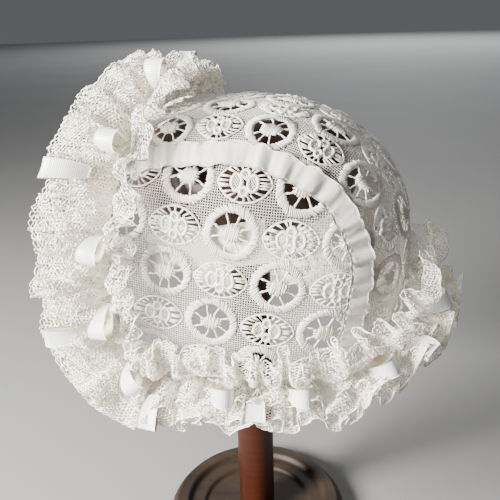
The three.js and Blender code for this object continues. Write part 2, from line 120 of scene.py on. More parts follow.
def head_normals(points):
    step = 0.05
    slopes = [gauge(points + np.eye(3)[i] * step) - gauge(points - np.eye(3)[i] * step) for i in range(3)]
    return unit(np.stack(slopes, axis=-1))


def side_points(x, z, side):
    rest = np.maximum(1 - profile_gauge(x, z) ** SECTION_POWER, 0)
    return np.stack([x, side * HEAD_SIDE * rest ** (1 / SECTION_POWER), z], axis=-1)


def meridian(angles):
    """Curves over the cap from the near side's middle, one for each side view angle, with their lengths."""
    turn = np.linspace(0, math.pi, MERIDIAN_POINTS)
    aim = np.stack([np.sin(turn) * np.cos(angles)[:, None], -np.cos(turn) + 0 * angles[:, None],
                    np.sin(turn) * np.sin(angles)[:, None]], axis=-1)
    points = aim / gauge(aim)[..., None]
    steps = np.linalg.norm(np.diff(points, axis=1), axis=-1)
    lengths = np.concatenate([np.zeros((len(angles), 1)), np.cumsum(steps, axis=1)], axis=1)
    return points, lengths


def lookup(table, rows, columns):
    """Values of a regular table between its entries."""
    row = np.clip(rows, 0, table.shape[0] - 1.001)
    column = np.clip(columns, 0, table.shape[1] - 1.001)
    i, j = row.astype(int), column.astype(int)
    a, b = (row - i)[..., None], (column - j)[..., None]
    return ((1 - a) * (1 - b) * table[i, j] + a * (1 - b) * table[i + 1, j]
            + (1 - a) * b * table[i, j + 1] + a * b * table[i + 1, j + 1])


def along_curves(points, lengths, places):
    """Points at given lengths along each curve, as a table with a row for each curve."""
    return np.stack([on_line(place, length, curve) for curve, length, place in zip(points, lengths, places)])


PANEL_DEGREES, PANEL_REACH = 2, 79
PANEL_TABLE = along_curves(*meridian(np.radians(np.arange(-180, 181 + PANEL_DEGREES, PANEL_DEGREES))),
                           [np.arange(0, PANEL_REACH + 1)] * (360 // PANEL_DEGREES + 2))


def panel_surface(spots, side):
    """Places on a side panel for spots on its flat cloth."""
    angle = np.degrees(np.arctan2(spots[..., 1], spots[..., 0])) + 180
    points = lookup(PANEL_TABLE, angle / PANEL_DEGREES, np.hypot(spots[..., 0], spots[..., 1]))
    return points * np.array([1, -side, 1])


STRIP_START, STRIP_END, STRIP_HALF = -45, 122, 46


def strip_table():
    angles = np.radians(np.linspace(190, -80, 1081))
    points, lengths = meridian(angles)
    middle = points[:, points.shape[1] // 2]
    run = distances(middle)
    top = np.interp(0, -np.degrees(angles) + 90, run)
    stations = np.arange(STRIP_START, STRIP_END + 1)
    picked = np.interp(stations + top, run, angles)
    points, lengths = meridian(picked)
    half = lengths[:, lengths.shape[1] // 2]
    return along_curves(points, lengths, half[:, None] + np.arange(-STRIP_HALF, STRIP_HALF + 1))


STRIP_TABLE = strip_table()


def strip_surface(spots):
    return lookup(STRIP_TABLE, spots[..., 0] - STRIP_START, spots[..., 1] + STRIP_HALF)


def face_x(z):
    return -FACE_FORWARD + FACE_SETBACK * ((z - TEMPLE) / (HEAD_TOP - TEMPLE)) ** 2


def neck_z(x):
    return -NECK_DROP + NAPE_RISE * (np.maximum(x, 0) / HEAD_BACK) ** NAPE_POWER


# Meshes gathered from many small parts

class Work:
    """Vertices and faces of one piece, in millimetres from the middle of the head."""

    def __init__(self):
        self.points, self.faces, self.segments, self.count = [], [], [], 0

    def add(self, points, faces, segment=1):
        """Faces come in segments of that many, which an edge cuts off whole."""
        self.points.append(np.asarray(points, float).reshape(-1, 3))
        self.faces.append(np.asarray(faces).reshape(-1, 4) + self.count)
        self.segments.append(segment)
        self.count += len(self.points[-1])

    def mapped(self, surface, lift):
        """The same parts laid from the flat cloth on to a surface."""
        flat = np.concatenate(self.points)
        base = surface(flat[:, :2])
        return base + head_normals(base) * (flat[:, 2:] + lift), np.concatenate(self.faces)


def make_object(name, points, faces, material, origin=HEAD, cloth=None):
    """Mesh object from points in millimetres; a face that names its last corner twice is a triangle.
    Where the flat cloth's measures are given, they are kept for a weave."""
    points = (np.asarray(points, float) + origin) * MM
    used, faces = np.unique(np.asarray(faces), return_inverse=True)
    points, faces = points[used], faces.reshape(-1, 4)
    is_triangle = faces[:, 2] == faces[:, 3]
    mesh = bpy.data.meshes.new(name)
    mesh.from_pydata(points, [], faces[~is_triangle].tolist() + faces[is_triangle][:, :3].tolist())
    mesh.polygons.foreach_set("use_smooth", np.full(len(mesh.polygons), True))
    if cloth is not None:
        layer = mesh.uv_layers.new(name="cloth")
        layer.data.foreach_set("uv", cloth[used][faces.reshape(-1)].astype(np.float32).reshape(-1))
    mesh.materials.append(material)
    mesh.update()
    obj = bpy.data.objects.new(name, mesh)
    bpy.context.scene.collection.objects.link(obj)
    return obj


def fill_holes(obj):
    """Close every hole where threads were cut off at an edge."""
    shape = bmesh.new()
    shape.from_mesh(obj.data)
    bmesh.ops.holes_fill(shape, edges=[edge for edge in shape.edges if edge.is_boundary], sides=0)
    shape.to_mesh(obj.data)
    shape.free()


def grid_faces(rows, columns, close_rows=False, close_columns=False):
    r = np.arange(rows if close_rows else rows - 1)
    c = np.arange(columns if close_columns else columns - 1)
    r, c = np.meshgrid(r, c, indexing="ij")
    r2, c2 = (r + 1) % rows, (c + 1) % columns
    corners = [r * columns + c, r2 * columns + c, r2 * columns + c2, r * columns + c2]
    return np.stack(corners, axis=-1).reshape(-1, 4)


def rods(starts, ends, radius, end_radius=None):
    """Straight three-sided threads between pairs of points, closed at both ends."""
    sides = 3
    starts, ends = np.asarray(starts, float), np.asarray(ends, float)
    n = len(starts)
    way = unit(ends - starts)
    other = np.where(np.abs(way[:, 2:]) < 0.8, [[0.0, 0.0, 1.0]], [[1.0, 0.0, 0.0]])
    u = unit(np.cross(way, other))
    v = np.cross(way, u)
    turns = 2 * math.pi * np.arange(sides) / sides
    ring = u[:, None] * np.cos(turns)[:, None] + v[:, None] * np.sin(turns)[:, None]
    radius = np.broadcast_to(radius, n)[:, None, None]
    end_radius = radius if end_radius is None else np.broadcast_to(end_radius, n)[:, None, None]
    points = np.concatenate([starts[:, None] + ring * radius, ends[:, None] + ring * end_radius], axis=1)
    one = [[k, (k + 1) % sides, sides + (k + 1) % sides, sides + k] for k in range(sides)]
    one = np.array(one + [[2, 1, 0, 0], [3, 4, 5, 5]])
    faces = one[None] + (np.arange(n) * 2 * sides)[:, None, None]
    return points.reshape(-1, 3), faces.reshape(-1, 4), len(one)


def tube(path, radius, sides=5, closed=False, pinch=0.05):
    """Thread swept along a path, its open ends pinched."""
    path = np.asarray(path, float)
    n = len(path)
    if closed:
        way = unit(np.roll(path, -1, axis=0) - np.roll(path, 1, axis=0))
    else:
        way = unit(np.gradient(path, axis=0))
    frames = np.zeros((n, 3))
    helper = np.array([0.0, 0.0, 1.0]) if abs(way[0, 2]) < 0.9 else np.array([1.0, 0.0, 0.0])
    for i in range(n):
        helper = unit(helper - way[i] * (helper @ way[i]))
        frames[i] = helper
    side = np.cross(way, frames)
    turns = 2 * math.pi * np.arange(sides) / sides
    radius = np.broadcast_to(radius, n).copy()
    if not closed:
        radius[[0, -1]] *= pinch
    ring = frames[:, None] * np.cos(turns)[:, None] + side[:, None] * np.sin(turns)[:, None]
    points = path[:, None] + ring * radius[:, None, None]
    return points.reshape(-1, 3), grid_faces(n, sides, close_rows=closed, close_columns=True), sides


# Lace motifs on the flat cloth, as spots along and across with a height over it

LACE_LIFT = 0.55
THREAD = 0.13
WEAVE_PITCH = 0.84
RING_OUTER, RING_INNER, RIDGES = 9.0, 6.4, 68
OVAL_LONG, OVAL_HIGH, OVAL_POINT, OVAL_SWELL = 9.0, 6.4, 2.0, 0.66
OVAL_BARS = 22
STITCH_SLANT, STITCH_THICK, STITCH_ARCH = 0.2, 0.5, 0.2
BAR_PLACES, BAR_WIDTHS = (1.8, 3.0, 4.4, 5.6, 6.7), (0.8, 0.4, 0.25, 0.42, 1.1)
KNOT_STITCHES, KNOT_LONG, KNOT_HIGH = 9, 2.2, 2.7
# Petals of the oval: place, half width and half height
PETALS = [((-2.65, 0), (1.6, 2.5)), ((2.65, 0), (1.6, 2.5)),
          ((0, 2.7), (1.25, 1.3)), ((0, -2.7), (1.25, 1.3))]
PETAL_SLANT, PETAL_NET, PETAL_THREAD = 0.9, 0.66, 0.14
LATTICE, WEAVE_REACH = range(-8, 9), 120
PANEL_WEAVE = dict(along=(18.6, -1.8), across=(4.0, 15.6), start=(0.8, -1.6))
STRIP_WEAVE = dict(along=(19.0, 0.0), across=(0.0, 15.4), start=(-3.0, 0.6))


def oval_edge(turn, grow=0.0):
    x = np.cos(turn)
    y = np.sign(np.sin(turn)) * (1 - np.abs(x) ** OVAL_POINT) ** OVAL_SWELL
    return np.stack([x * (OVAL_LONG + grow), y * (OVAL_HIGH + grow)], axis=-1)


def stitches(work, starts, ends, radius, arch, rng):
    """Threads worked side by side over a padding, each arched between its ends."""
    lift = np.array([0, 0, arch])
    early, late = 0.22, 0.78
    for begin, finish in zip(starts, ends):
        span = finish - begin
        path = [begin, begin + span * early + lift, begin + span * late + lift, finish]
        work.add(*tube(np.array(path), radius * rng.uniform(0.9, 1.06), 3, pinch=0.8))


def ring_motif(rng):
    """Ring of satin stitches with eight bars and a knotted middle."""
    work = Work()
    turns = 2 * math.pi * (np.arange(RIDGES) + rng.normal(0, 0.12, RIDGES)) / RIDGES
    outer = RING_OUTER * (1 + 0.02 * np.sin(3 * turns + rng.uniform(0, 6))) + rng.normal(0, 0.16, RIDGES)
    inner = RING_INNER + 0.2 * np.sin(4 * turns + rng.uniform(0, 6)) + rng.normal(0, 0.12, RIDGES)
    slant = turns + STITCH_SLANT
    starts = np.stack([outer * np.cos(slant), outer * np.sin(slant), 0.1 + 0 * turns], axis=-1)
    ends = np.stack([inner * np.cos(turns), inner * np.sin(turns), 0.1 + 0 * turns], axis=-1)
    stitches(work, starts, ends, STITCH_THICK, STITCH_ARCH, rng)
    for angle in range(20, 380, 45):
        turn = math.radians(angle + rng.uniform(-8, 8))
        way = np.array([math.cos(turn), math.sin(turn), 0])
        bend = np.array([-way[1], way[0], 0]) * rng.uniform(-0.4, 0.4)
        places = np.array([way * place for place in BAR_PLACES])
        places[1:3] += bend
        work.add(*tube(places + [0, 0, 0.25], BAR_WIDTHS, 4))
    around = 2 * math.pi * np.arange(12) / 12
    rise = np.radians(np.linspace(-89, 89, 6))
    shape = np.stack([
        2.5 * np.cos(rise)[:, None] * np.cos(around),
        2.3 * np.cos(rise)[:, None] * np.sin(around),
        0.3 + 0.5 * np.sin(rise)[:, None] + 0 * around,
    ], axis=-1)
    work.add(shape, grid_faces(6, 12, close_columns=True), 5 * 12)
    spots = np.linspace(-KNOT_LONG, KNOT_LONG, KNOT_STITCHES) + rng.normal(0, 0.1, KNOT_STITCHES)
    high = KNOT_HIGH * np.sqrt(1 - (spots / (KNOT_LONG + 1)) ** 2) + rng.normal(0, 0.22, KNOT_STITCHES)
    lean = 0.4 + rng.normal(0, 0.15, KNOT_STITCHES)
    starts = np.stack([spots - lean, -high, 0.2 + 0 * spots], axis=-1)
    ends = np.stack([spots + lean, high, 0.2 + 0 * spots], axis=-1)
    stitches(work, starts, ends, 0.52, 0.65, rng)
    for side in (-1, 1):
        heights = np.array([-0.8, 0, 0.8])
        starts = np.stack([side * KNOT_LONG + 0 * heights, heights, 0.35 + 0 * heights], axis=-1)
        ends = np.stack([side * 3.6 + 0 * heights, heights * 1.3, 0.25 + 0 * heights], axis=-1)
        stitches(work, starts, ends, 0.42, 0.3, rng)
    return work


def oval_motif(rng):
    """Whipped oval with fine bars round four netted petals."""
    work = Work()
    turns = 2 * math.pi * (np.arange(60) + 0.5) / 60
    outline = np.column_stack([oval_edge(turns, -0.3), np.full(60, 0.35)])
    work.add(*tube(outline, 0.34 + 0.06 * (np.arange(60) % 3 - 1) + rng.normal(0, 0.03, 60), 4, closed=True))
    bars = 2 * math.pi * (np.arange(OVAL_BARS) + 0.5) / OVAL_BARS + rng.normal(0, 0.05, OVAL_BARS)
    outer = np.column_stack([oval_edge(bars, -0.5), np.full(OVAL_BARS, 0.3)])
    foot = np.column_stack([4.5 * np.cos(bars), 4.0 * np.sin(bars), np.full(OVAL_BARS, 0.35)])
    work.add(*rods(outer, foot, 0.5, end_radius=0.26))
    for (x, y), (wide, high) in PETALS:
        around = 2 * math.pi * np.arange(18) / 18
        size = 1 + rng.normal(0, 0.04, 18)
        loop = np.stack([x + wide * size * np.cos(around), y + high * size * np.sin(around),
                         0.5 + rng.normal(0, 0.08, 18)], axis=-1)
        work.add(*tube(loop, 0.58 + rng.normal(0, 0.12, 18), 4, closed=True))
        starts, ends = [], []
        for slant in (-1, 1):
            for offset in np.arange(-2.0, 2.1, PETAL_NET):
                way = np.array([math.cos(slant * PETAL_SLANT), math.sin(slant * PETAL_SLANT)])
                foot_point = offset * np.array([-way[1], way[0]])
                a = (way / (wide, high)) @ (way / (wide, high))
                b = (way / (wide, high)) @ (foot_point / (wide, high))
                c = (foot_point / (wide, high)) @ (foot_point / (wide, high)) - 1
                root = b * b - a * c
                if root > 0:
                    reach = math.sqrt(root) / a
                    for ends_list, sign in ((starts, -1), (ends, 1)):
                        spot = foot_point + way * (-b / a + sign * reach)
                        ends_list.append([x + spot[0], y + spot[1], 0.35])
        work.add(*rods(starts, ends, PETAL_THREAD))
    return work


def lace_piece(weave, surface, inside, seed):
    """All motifs and the woven ground of a cloth piece."""
    rng = np.random.default_rng(seed)
    along, across, start = (np.array(weave[k]) for k in ("along", "across", "start"))
    grain = unit(along)
    turned = np.array([[grain[0], grain[1]], [-grain[1], grain[0]]])
    work = Work()
    homes = []
    for row in LATTICE:
        for column in LATTICE:
            home = start + along * column + across * row
            if not inside(home[None], 12)[0]:
                continue
            is_ring = (row + column) % 2 == 1
            homes.append((home, is_ring))
            motif = ring_motif(rng) if is_ring else oval_motif(rng)
            points = np.concatenate(motif.points)
            points[:, :2] = points[:, :2] @ turned + home
            kept = []
            for faces, segment in zip(motif.faces, motif.segments):
                whole = faces[:len(faces) // segment * segment].reshape(-1, segment, 4)
                kept.append(whole[inside(points[whole, :2].mean(axis=(1, 2)), 0)].reshape(-1, 4))
            work.add(points, np.concatenate(kept))
    count = int(WEAVE_REACH / WEAVE_PITCH)
    i, j = np.meshgrid(np.arange(-count, count), np.arange(-count, count), indexing="ij")
    jitter = rng.normal(0, 0.05, (2, *i.shape))
    spots = np.stack([i * WEAVE_PITCH + jitter[0], j * WEAVE_PITCH + jitter[1]], axis=-1) @ turned
    over = np.where((i + j) % 2 == 0, 1.0, -1.0) * 0.1
    free = inside(spots, 2)
    for home, is_ring in homes:
        local = (spots - home) @ turned.T
        if is_ring:
            free &= np.hypot(local[..., 0], local[..., 1]) > RING_OUTER - 0.5
        else:
            x = np.abs(local[..., 0]) / OVAL_LONG
            edge = OVAL_HIGH * np.maximum(1 - np.minimum(x, 1) ** OVAL_POINT, 0) ** OVAL_SWELL
            free &= (np.abs(local[..., 1]) > edge - 0.2) | (x > 1)
    for first, second, sign in (((slice(None, -1), slice(None)), (slice(1, None), slice(None)), 1),
                                ((slice(None), slice(None, -1)), (slice(None), slice(1, None)), -1)):
        keep = free[first] & free[second]
        lows = np.concatenate([spots, (0.05 + sign * over)[..., None]], axis=-1)
        work.add(*rods(lows[first][keep], lows[second][keep], THREAD))
    return work.mapped(surface, LACE_LIFT)


def clear_of_edges(points, slack):
    ahead = points[..., 0] > face_x(points[..., 2]) - slack
    return ahead & (points[..., 2] > neck_z(points[..., 0]) - slack)


# Materials

def tune(node, values):
    for name, value in values.items():
        node.inputs[name].default_value = value


def node_material(name, base, roughness, sheen=0.0):
    material = bpy.data.materials.new(name)
    material.use_nodes = True
    nodes, links = material.node_tree.nodes, material.node_tree.links
    shader = nodes["Principled BSDF"]
    tune(shader, {"Base Color": (*base, 1), "Roughness": roughness, "Sheen Weight": sheen,
                  "Sheen Roughness": 0.4})
    return material, nodes, links, shader


def add_noise(nodes, links, scale, detail=4.0, stretch=(1, 1, 1), roughness=0.55):
    coordinate = nodes.new("ShaderNodeTexCoord")
    mapping = nodes.new("ShaderNodeMapping")
    mapping.inputs["Scale"].default_value = stretch
    noise = nodes.new("ShaderNodeTexNoise")
    tune(noise, {"Scale": scale, "Detail": detail, "Roughness": roughness})
    links.new(coordinate.outputs["Object"], mapping.inputs["Vector"])
    links.new(mapping.outputs["Vector"], noise.inputs["Vector"])
    return noise


def add_ramp(nodes, links, factor, stops, target):
    """Colour ramp from a factor to the input that takes its colour."""
    ramp = nodes.new("ShaderNodeValToRGB")
    marks = ramp.color_ramp.elements
    for mark, (place, colour) in ((marks[0], stops[0]), (marks[1], stops[-1])):
        mark.position, mark.color = place, (*colour, 1)
    for place, colour in stops[1:-1]:
        marks.new(place).color = (*colour, 1)
    links.new(factor, ramp.inputs["Fac"])
    links.new(ramp.outputs["Color"], target)


def add_bump(nodes, links, shader, height, strength, distance):
    bump = nodes.new("ShaderNodeBump")
    tune(bump, {"Strength": strength, "Distance": distance})
    links.new(height, bump.inputs["Height"])
    links.new(bump.outputs["Normal"], shader.inputs["Normal"])


def cloth_wave(nodes, links, direction, scale, distortion):
    """Waves along one direction of the flat cloth."""
    uv = nodes.new("ShaderNodeUVMap")
    uv.uv_map = "cloth"
    wave = nodes.new("ShaderNodeTexWave")
    wave.bands_direction = direction
    tune(wave, {"Scale": scale, "Distortion": distortion})
    links.new(uv.outputs["UV"], wave.inputs["Vector"])
    return wave.outputs["Fac"]


def cotton(name, pale, deep, fibre=2500, strength=0.35):
    """Cotton thread with uneven bleaching and a fibrous surface."""
    material, nodes, links, shader = node_material(name, pale, 0.85, 0.25)
    stain = add_noise(nodes, links, 60, 3)
    add_ramp(nodes, links, stain.outputs["Fac"], [(0.35, deep), (0.65, pale)], shader.inputs["Base Color"])
    fibres = add_noise(nodes, links, fibre, 2)
    add_bump(nodes, links, shader, fibres.outputs["Fac"], strength, 0.0002)
    return material


def woven(name, pale, deep, pitch):
    """Plain woven tape: crossed waves of thread under an uneven bleach."""
    material, nodes, links, shader = node_material(name, pale, 0.8, 0.2)
    stain = add_noise(nodes, links, 90, 4)
    add_ramp(nodes, links, stain.outputs["Fac"], [(0.3, deep), (0.7, pale)], shader.inputs["Base Color"])
    both = nodes.new("ShaderNodeMath")
    both.operation = "MULTIPLY"
    for k, direction in enumerate("XY"):
        links.new(cloth_wave(nodes, links, direction, 0.314 / pitch, 0.6), both.inputs[k])
    add_bump(nodes, links, shader, both.outputs["Value"], 0.5, 0.0002)
    return material


def satin(name, pale):
    """Ribbon with a silky gloss across its fine warp."""
    material, nodes, links, shader = node_material(name, pale, 0.3, 0.3)
    tune(shader, {"Specular IOR Level": 0.6})
    warp = cloth_wave(nodes, links, "X", 0.5, 2.5)
    shades = [(0.0, tuple(0.78 * c for c in pale)), (1.0, pale)]
    add_ramp(nodes, links, warp, shades, shader.inputs["Base Color"])
    add_bump(nodes, links, shader, warp, 0.45, 0.0001)
    return material


def wood(name, pale, deep, stretch, roughness, scale=55, lines=0.0):
    """Turned wood: streaks along the grain, fine pores, the chisel's lines and a worn polish."""
    material, nodes, links, shader = node_material(name, pale, roughness)
    tune(shader, {"Specular IOR Level": 0.3})
    grain = add_noise(nodes, links, scale, 8, stretch, 0.65)
    pores = add_noise(nodes, links, scale * 9, 3, stretch)
    turned_lines = add_noise(nodes, links, 900, 3, (0.02, 0.02, 1))
    relief = nodes.new("ShaderNodeMix")
    tune(relief, {"Factor": lines})
    links.new(pores.outputs["Fac"], relief.inputs["A"])
    links.new(turned_lines.outputs["Fac"], relief.inputs["B"])
    add_bump(nodes, links, shader, relief.outputs["Result"], 0.35, 0.0004)
    tint = nodes.new("ShaderNodeMix")
    tint.data_type = "RGBA"
    tint.blend_type = "MULTIPLY"
    tune(tint, {"Factor": lines})
    streaks = [(0.3, deep), (0.5, tuple((a + b) / 2 for a, b in zip(pale, deep))), (0.68, pale)]
    add_ramp(nodes, links, grain.outputs["Fac"], streaks, tint.inputs["A"])
    shades = [(0.35, (0.55, 0.5, 0.45)), (0.6, (1, 1, 1))]
    add_ramp(nodes, links, turned_lines.outputs["Fac"], shades, tint.inputs["B"])
    links.new(tint.outputs["Result"], shader.inputs["Base Color"])
    wear = nodes.new("ShaderNodeMapRange")
    tune(wear, {"To Min": roughness - 0.12, "To Max": roughness + 0.15})
    links.new(grain.outputs["Fac"], wear.inputs["Value"])
    links.new(wear.outputs["Result"], shader.inputs["Roughness"])
    return material


LACE = cotton("lace_cotton", (0.88, 0.85, 0.785), (0.79, 0.75, 0.665))
NET = cotton("net_cotton", (0.97, 0.935, 0.84), (0.92, 0.87, 0.76), 3500, 0.2)
TAPE = woven("tape_weave", (0.79, 0.76, 0.695), (0.68, 0.65, 0.585), 0.45)
SATIN = satin("ribbon_satin", (0.95, 0.95, 0.935))
# Painted shade: a darker, warmer cream copy of the ribbon satin, laid on the inner faces of the ribbon loops
SHADED_SATIN = satin("ribbon_painted_shade", (0.80, 0.745, 0.57))
TIE = woven("tie_weave", (0.88, 0.84, 0.74), (0.80, 0.75, 0.63), 0.3)
DARK_WOOD = wood("dome_wood", (0.055, 0.022, 0.016), (0.018, 0.008, 0.006), (1, 1, 0.15), 0.38)
RED_WOOD = wood("post_wood", (0.047, 0.0095, 0.0025), (0.018, 0.003, 0.001), (1, 1, 0.08), 0.4, lines=0.75)
PALE_WOOD = wood("base_wood", (0.038, 0.024, 0.0145), (0.01, 0.0065, 0.004), (0.22, 1, 1), 0.5, 45)


# Lace pieces

def dress(name, points, faces, material, node, cloth=None, origin=HEAD):
    """Make a piece that stands for its model node and rides with the part's one body."""
    piece = make_object(name, points, faces, material, origin, cloth)
    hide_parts(node)
    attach(piece, "root")
    return piece


def side_panel(name, node, side, seed):
    def inside(spots, slack):
        points = panel_surface(spots, side)
        on_cloth = np.hypot(spots[..., 0], spots[..., 1]) < PANEL_REACH
        return on_cloth & (side * points[..., 1] > SEAM_SIDE - slack) & clear_of_edges(points, slack)

    points, faces = lace_piece(PANEL_WEAVE, lambda spots: panel_surface(spots, side), inside, seed)
    piece = dress(name, points, faces, LACE, node)
    fill_holes(piece)


def crown_strip():
    def inside(spots, slack):
        points = strip_surface(spots)
        on_cloth = (spots[..., 0] > STRIP_START) & (spots[..., 0] < STRIP_END)
        on_cloth &= np.abs(spots[..., 1]) < STRIP_HALF
        return on_cloth & (np.abs(points[..., 1]) < SEAM_SIDE + slack) & clear_of_edges(points, slack)

    points, faces = lace_piece(STRIP_WEAVE, strip_surface, inside, 5)
    piece = dress("lace_crown", points, faces, LACE, "crown_strip")
    fill_holes(piece)
    return piece


side_panel("lace_near", "side_panel_near", -1, 3)
side_panel("lace_far", "side_panel_far", 1, 4)
CROWN = crown_strip()


# Stitch line round the whole opening, by distance from the middle of the crown over the near side

def smoothstep(value, low, high):
    t = np.clip((value - low) / (high - low), 0, 1)
    return t * t * (3 - 2 * t)


def solve(low, high, holds):
    for _ in range(60):
        middle = (low + high) / 2
        low, high = (middle, high) if holds(middle) else (low, middle)
    return low


def edge_spot(along_face, value):
    if along_face:
        return np.stack([face_x(value) + STITCH_INSET, value], axis=-1)
    return np.stack([value, neck_z(value) + STITCH_INSET], axis=-1)


def stitch_ring():
    """Evenly spaced points of the stitch line, closed over the far side, and their spacing."""
    low = neck_z(-FACE_FORWARD) + STITCH_INSET
    corner = edge_spot(True, low)
    top = solve(0, HEAD_TOP, lambda z: profile_gauge(*edge_spot(True, z)) < 1)
    back = solve(0, HEAD_BACK, lambda x: profile_gauge(*edge_spot(False, x)) < 1)
    crowd = np.linspace(0, 1, 1500) ** 4
    face = edge_spot(True, top + (low + CORNER_ROUND - top) * crowd)
    neck = edge_spot(False, back + (corner[0] + CORNER_ROUND - back) * crowd)[::-1]
    t = np.linspace(0, 1, 60)[1:-1, None]
    bend = (1 - t) ** 2 * face[-1] + 2 * t * (1 - t) * corner + t ** 2 * neck[0]
    line = np.concatenate([face, bend, neck])
    points = side_points(line[:, 0], line[:, 1], -1)
    run = distances(points)
    count = int(run[-1] / 0.25)
    places = np.linspace(0, run[-1], count + 1)
    near = on_line(places, run, points)
    return np.concatenate([near, near[-2:0:-1] * [1, -1, 1]]), run[-1] / count


RING, RING_STEP = stitch_ring()
GIRTH = RING_STEP * len(RING)
RING_ALONG = unit(np.roll(RING, -6, axis=0) - np.roll(RING, 6, axis=0))
RING_NORMAL = head_normals(RING)
QUARTER = len(RING) // 8
TURNING = RING_ALONG[QUARTER:3 * QUARTER]
CORNER = RING_STEP * (QUARTER + np.argmax(-TURNING[:, 2] < TURNING[:, 0]))

# How the ruche stands: place, reach, flare in degrees, inner reach, stand
STANCE = np.array([
    (0.00, 0.86, 48, 1.0, 0.75), (0.10, 0.86, 42, 1.0, 0.65), (0.20, 0.90, 30, 1.0, 0.55),
    (0.36, 0.95, 26, 1.0, 0.42), (0.50, 0.86, 45, 1.0, 0.45), (0.62, 0.66, 66, 1.0, 0.40),
    (0.82, 0.72, 82, 1.2, 0.35), (1.00, 0.90, 88, 1.5, 0.35)])


def round_ring(table, stations):
    place = stations / RING_STEP
    first = np.floor(place).astype(int)
    t = (place - first)[..., None]
    return table[first % len(RING)] * (1 - t) + table[(first + 1) % len(RING)] * t


def fold_wave(stations):
    turns = 2 * math.pi * stations / FOLD_PITCH
    return 0.72 * np.sin(turns) + 0.28 * np.sin(turns / 2.6 + 1)


class Edge:
    """Directions and stance of the ruche at stations along the stitch line."""

    def __init__(self, stations):
        self.foot = round_ring(RING, stations)
        self.along = unit(round_ring(RING_ALONG, stations))
        self.normal = unit(round_ring(RING_NORMAL, stations))
        self.outward = unit(np.cross(self.along, self.normal))
        share = (stations / GIRTH) % 1
        from_crown = np.minimum(share, 1 - share) * GIRTH
        turn = smoothstep(from_crown, CORNER - CORNER_ROUND, CORNER + CORNER_ROUND) * math.pi / 2
        self.away = np.stack([-np.cos(turn), 0 * turn, -np.sin(turn)], axis=-1)
        level = (self.normal * self.away).sum(axis=-1, keepdims=True)
        self.raised = unit(self.normal - self.away * level)
        place = from_crown / (GIRTH / 2)
        row = np.clip(np.searchsorted(STANCE[:, 0], place), 1, len(STANCE) - 1)
        t = smoothstep(place, STANCE[row - 1, 0], STANCE[row, 0])[..., None]
        stance = STANCE[row - 1] * (1 - t) + STANCE[row] * t
        self.reach = FLOUNCE_REACH * stance[..., 1:2]
        flare = np.radians(stance[..., 2:3])
        self.inner = INNER_REACH * stance[..., 3:4]
        self.stand = stance[..., 4:5]
        self.far = np.cos(flare)
        self.rise = np.sin(flare)
        self.over = self.raised * self.far - self.away * self.rise
        self.wave = fold_wave(stations)[..., None] * FOLD_DEPTH

    def point(self, across):
        """Middle surface of the ruche, from -1 at the inner rim, over 0 at the stitches, to 1 outside."""
        across = np.asarray(across, float)[..., None]
        out = np.abs(across)
        base = self.foot + self.normal * FOOT_LIFT
        lying = self.outward * -(FOOT_WIDTH / 2 + 0.85 * self.inner * out)
        standing = self.stand * self.inner * (1 - (1 - out) ** 2)
        lying = lying + self.normal * (standing + 0.3 * self.wave * out)
        off_foot = np.minimum(out * self.reach / FOOT_WIDTH, 1) * FOOT_WIDTH / 2
        flying = self.outward * off_foot + self.away * self.reach * self.far * out ** 1.25
        flying = flying + self.raised * self.reach * self.rise * (1 - np.maximum(1 - out, 0) ** 1.7)
        flying = flying + self.over * self.wave * out ** 1.2
        return base + np.where(across < 0, lying, flying)


# Gathered net

CELL_LONG, CELL_WIDE, CELL_BAR = 2.4, 0.59, 0.72
NET_HALF, NET_TWIST = 0.215, 0.55
PICOT_STEP, PICOT_PITCH, PICOT_THICK = 0.6, 2.3, 0.24
BULGE = 1.1
NET_OVERLAP = 1.0
# Outer layers of a net: seed step, fold pitch, fold depth, lift and share of the reach
OUTER_LAYERS = [(0, 10.5, 3.2, 1.2, 1.0), (1, 8.5, 2.8, -1.0, 0.96), (3, 9.0, 3.2, 3.4, 0.62)]
INNER_FOLDS = (9.0, 3.2, 2.4)


def wander(rng, pitch):
    """Smooth curve of about unit size that waves with no fixed repeat."""
    spread, count = 0.45, 6
    pitches = pitch * np.exp(rng.uniform(-spread, spread, count))
    starts = rng.uniform(0, 2 * math.pi, count)
    size = math.sqrt(2 / count)
    return lambda s: sum(np.sin(2 * math.pi * s / p + a) for p, a in zip(pitches, starts)) * size


class Gathers:
    """One layer of gathered cloth: fine folds over the form of the ruche."""

    def __init__(self, seed, inner, pitch, depth, lift, short):
        rng = np.random.default_rng(seed)
        self.inner, self.pitch, self.depth, self.lift, self.short = inner, pitch, depth, lift, short
        self.drift, self.size, self.sway = wander(rng, 40), wander(rng, 17), wander(rng, 13)
        self.tilt, self.rim, self.crumple = wander(rng, 9), wander(rng, 21), wander(rng, 5)
        self.start = rng.uniform(0, 6)

    def place(self, stations, out):
        edge = Edge(stations)
        full = np.minimum(1, 0.22 + 1.1 * out)
        reach = out * (self.short + 0.05 * self.rim(stations))
        phase = 2 * math.pi * stations / self.pitch + self.start
        phase = phase + 1.6 * self.drift(stations) + 1.0 * out * self.sway(stations)
        size = self.depth * (0.85 + 0.3 * self.size(stations)) * full
        shift = size * np.sin(phase) + self.lift * np.minimum(1, 3 * out)
        shift = shift + 0.5 * self.crumple(stations + 9 * out) * np.minimum(1, 2 * out)
        slide = -0.32 * size * np.sin(2 * phase) + 0.9 * out * self.tilt(stations)
        point = edge.point(-reach if self.inner else reach)
        aim = unit(edge.normal + 0.4 * edge.outward) if self.inner else edge.over
        return point + aim * shift[..., None] + edge.along * slide[..., None]


